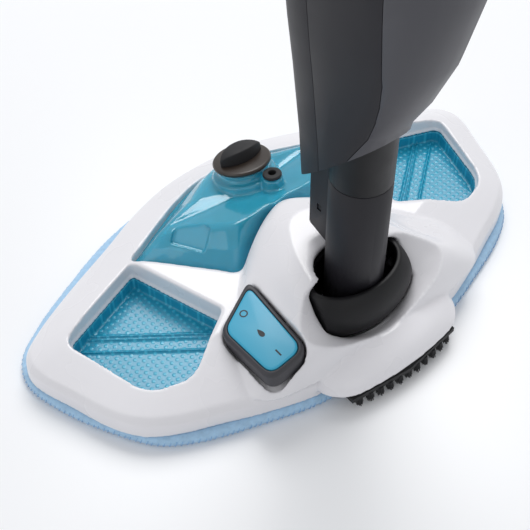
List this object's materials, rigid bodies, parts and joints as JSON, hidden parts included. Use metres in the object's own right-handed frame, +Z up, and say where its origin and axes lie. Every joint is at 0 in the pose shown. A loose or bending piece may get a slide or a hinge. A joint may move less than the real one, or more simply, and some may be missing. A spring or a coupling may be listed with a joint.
{
  "type": "steam mop",
  "caption": "Upright steam mop with a wide cloth-covered floor head, tilting swivel neck, detergent tank and foot pedal, water tank, steam dial and trigger handle.",
  "frame": {"origin": "on the floor under the axis of the neck tube, at the underside of the mop cloth", "axes": "+Z up along the neck tube and handle, +Y towards the front of the head where the detergent tank is, +X to the right"},
  "size_m": [0.3294, 0.207, 1.16],
  "materials": {
    "white_shell": "moulded ABS, satin gloss",
    "light_grey": "plain moulded",
    "cloth_blue": "microfibre terry",
    "steel": "plain zinc-plated",
    "window_blue": "translucent tinted moulding with fine dot texture",
    "tank_blue": "clear tinted moulding, translucent",
    "joint_black": "glass-filled nylon, satin",
    "rubber_black": "matt rubber and bristle",
    "brass": "turned",
    "pedal_grey": "satin moulded texture",
    "insert_blue": "moulded, satin",
    "hose_white": "silicone and nylon, matt",
    "body_grey": "fine moulded texture",
    "rear_grey": "satin moulded texture",
    "tank_clear": "clear tinted moulding",
    "aluminium": "cast"
  },
  "bodies": {
    "head": {"head_cover": "white_shell", "steam_plate": "white_shell", "hook_strip_left": "light_grey", "hook_strip_right": "light_grey", "mop_cloth": "cloth_blue", "base_screw_1": "steel", "base_screw_2": "steel", "base_screw_3": "steel", "base_screw_4": "steel", "window_tray_left": "window_blue", "window_tray_right": "window_blue", "pedal_pin": "steel", "brush_strip": "rubber_black", "pivot_bearing_left": "hose_white", "pivot_bearing_right": "hose_white", "steam_nozzle": "brass", "head_steam_hose": "hose_white", "yoke_pin_left": "steel", "yoke_pin_right": "steel"},
    "detergent_tank": {"detergent_tank": "tank_blue", "tank_vent": "rubber_black", "tank_outlet_valve": "brass"},
    "detergent_tank_cap": {"tank_cap": "joint_black", "tank_cap_seal": "rubber_black"},
    "detergent_pedal": {"detergent_pedal": "pedal_grey", "pedal_insert": "insert_blue"},
    "neck_yoke": {"neck_yoke": "joint_black", "tube_pin": "steel"},
    "water_tank": {"water_tank": "tank_clear", "water_tank_valve": "rubber_black"},
    "water_tank_cap": {"water_tank_cap": "joint_black"},
    "tank_latch": {"tank_latch": "insert_blue"},
    "steam_dial": {"steam_dial": "joint_black"},
    "trigger": {"trigger": "insert_blue"},
    "upper_cord_hook": {"upper_cord_hook": "joint_black"},
    "upright": {"neck_tube": "body_grey", "neck_catch": "rubber_black", "neck_steam_hose": "hose_white", "body_frame": "joint_black", "body_front_lower": "body_grey", "body_front_upper": "body_grey", "body_left_panel": "body_grey", "body_right_panel": "body_grey", "body_rear_cover": "rear_grey", "boiler": "aluminium", "water_pump": "light_grey", "boiler_feed_hose": "hose_white", "boiler_steam_hose": "hose_white", "indicator_lens": "insert_blue", "cord_gland": "rubber_black", "handle_tube": "body_grey", "handle_screw": "steel", "grip_left": "body_grey", "grip_right": "body_grey", "trigger_pin": "steel", "lower_cord_hook": "joint_black"}
  },
  "joints": [
    {"name": "neck_tilt", "type": "hinge", "parent": "head", "child": "neck_yoke", "pos_m": [0, 0, 0.036], "axis": [1, 0, 0], "range_deg": [0, 60]},
    {"name": "neck_swivel", "type": "hinge", "parent": "neck_yoke", "child": "upright", "pos_m": [0, 0, 0.036], "axis": [0, 1, 0], "range_deg": [-15, 15]},
    {"name": "detergent_tank_lift", "type": "slide", "parent": "head", "child": "detergent_tank", "axis": [0, 0, 1], "range_m": [0, 0.03]},
    {"name": "detergent_cap_turn", "type": "hinge", "parent": "detergent_tank", "child": "detergent_tank_cap", "pos_m": [0.004, 0.10277, 0.05074], "axis": [0, 0.2419, 0.9703], "range_deg": [0, 90]},
    {"name": "pedal_rock", "type": "hinge", "parent": "head", "child": "detergent_pedal", "pos_m": [-0.0615, 0.002, 0.033], "axis": [0.9903, 0, 0.1392], "range_deg": [-4, 4]},
    {"name": "water_tank_pull", "type": "slide", "parent": "upright", "child": "water_tank", "axis": [0, 1, 0], "range_m": [0, 0.06]},
    {"name": "water_cap_turn", "type": "hinge", "parent": "water_tank", "child": "water_tank_cap", "pos_m": [0, 0.026, 0.4303], "axis": [0, 0, 1], "range_deg": [0, 90]},
    {"name": "tank_latch_press", "type": "slide", "parent": "upright", "child": "tank_latch", "axis": [0, -1, 0], "range_m": [0, 0.003], "stiffness_N_per_m": 600, "springref_m": -0.001},
    {"name": "steam_dial_turn", "type": "hinge", "parent": "upright", "child": "steam_dial", "pos_m": [0, 0.034, 0.505], "axis": [0, 0.9874, 0.158], "range_deg": [-75, 75]},
    {"name": "trigger_squeeze", "type": "hinge", "parent": "upright", "child": "trigger", "pos_m": [0, 0.002, 1.028], "axis": [-1, 0, 0], "range_deg": [0, 7], "stiffness_Nm_per_rad": 0.4, "springref_deg": -2.86},
    {"name": "cord_hook_turn", "type": "hinge", "parent": "upright", "child": "upper_cord_hook", "pos_m": [0, 0, 0.88], "axis": [0, 0, 1], "range_deg": [0, 180]}
  ]
}
